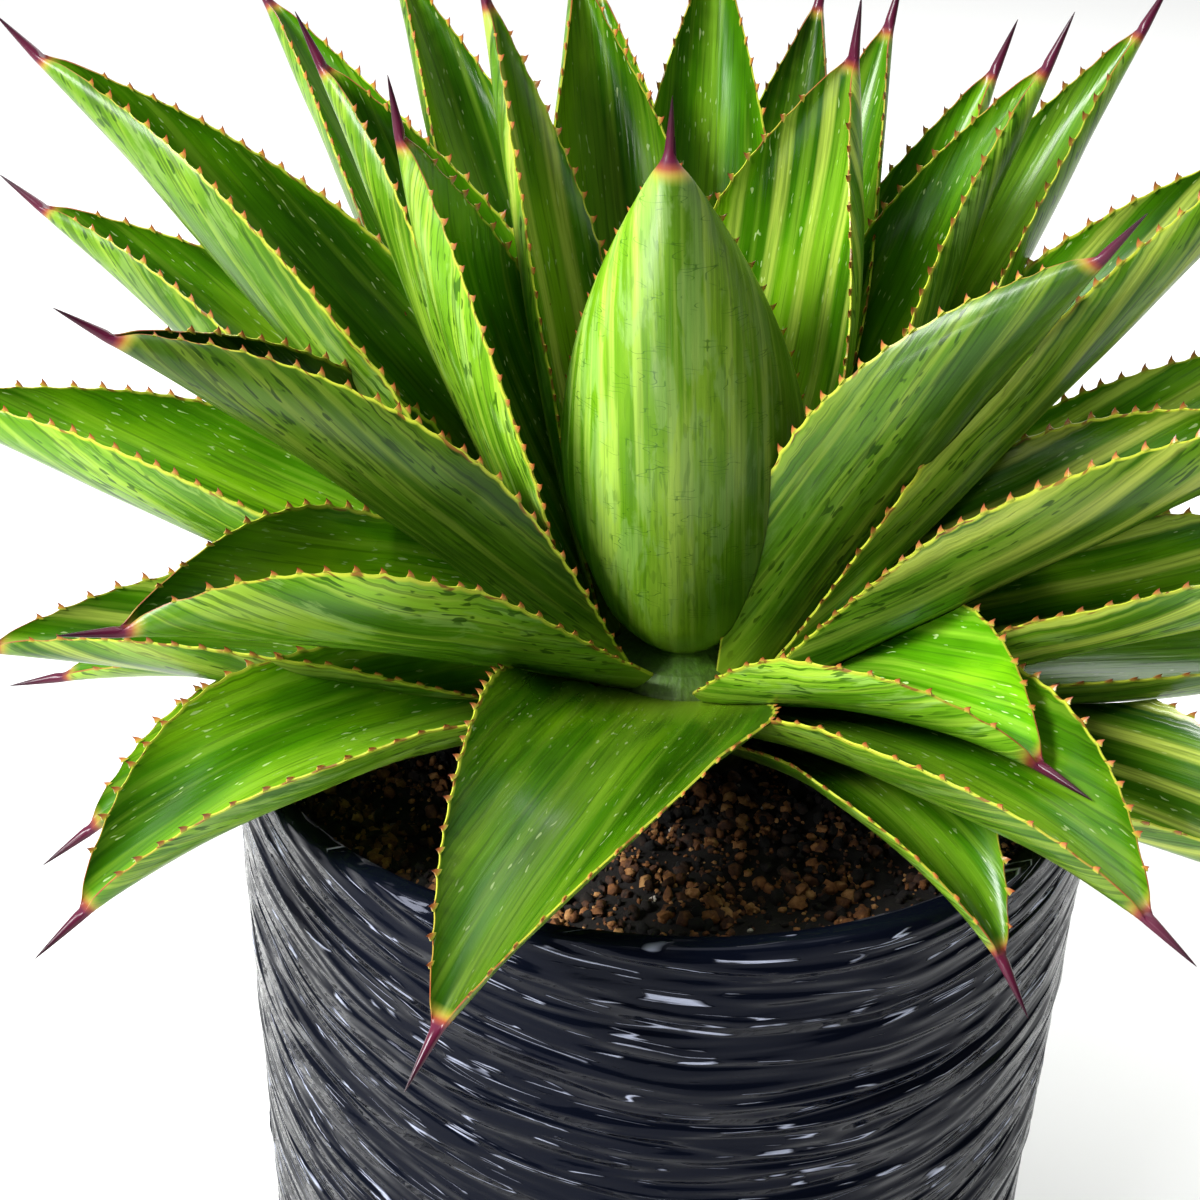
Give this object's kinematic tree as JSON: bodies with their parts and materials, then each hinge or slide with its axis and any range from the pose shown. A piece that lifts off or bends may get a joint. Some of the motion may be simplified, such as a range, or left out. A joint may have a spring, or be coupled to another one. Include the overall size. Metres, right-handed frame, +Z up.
{
  "type": "potted agave",
  "caption": "Agave rosette of thick, folded, toothed leaves with dark needle tips round a closed central bud, rooted in gritty soil in a round pot wrapped in creased film.",
  "frame": {"origin": "middle of the pot's underside, where it stands on the surface", "axes": "+Z up; -Y faces the viewer of the picture; +X to the viewer's right"},
  "size_m": [0.4357, 0.3604, 0.4244],
  "materials": {
    "pot": "smooth, satin",
    "film": "glossy stretched film with many fine creases",
    "soil": "coarse, matt",
    "stem": "fibrous, matt",
    "leaf": "waxy, satin",
    "bud": "waxy, satin"
  },
  "bodies": {
    "root": {"pot": "pot", "film_wrap": "film", "soil": "soil", "stem": "stem", "bud_core": "bud", "bud_leaf_outer": "bud", "bud_leaf_middle": "bud", "bud_leaf_inner": "bud", "leaf_01": "leaf", "leaf_02": "leaf", "leaf_03": "leaf", "leaf_04": "leaf", "leaf_05": "leaf", "leaf_06": "leaf", "leaf_07": "leaf", "leaf_08": "leaf", "leaf_09": "leaf", "leaf_10": "leaf", "leaf_11": "leaf", "leaf_12": "leaf", "leaf_13": "leaf", "leaf_14": "leaf", "leaf_15": "leaf", "leaf_16": "leaf", "leaf_17": "leaf", "leaf_18": "leaf", "leaf_19": "leaf", "leaf_20": "leaf", "leaf_21": "leaf", "leaf_22": "leaf", "leaf_23": "leaf", "leaf_24": "leaf", "leaf_25": "leaf", "leaf_26": "leaf", "leaf_27": "leaf", "leaf_28": "leaf", "leaf_29": "leaf", "leaf_30": "leaf", "leaf_31": "leaf", "leaf_32": "leaf", "leaf_33": "leaf", "leaf_34": "leaf", "leaf_35": "leaf", "leaf_36": "leaf", "leaf_37": "leaf", "leaf_38": "leaf", "leaf_39": "leaf", "leaf_40": "leaf", "leaf_41": "leaf", "leaf_42": "leaf", "leaf_43": "leaf"}
  },
  "joints": []
}
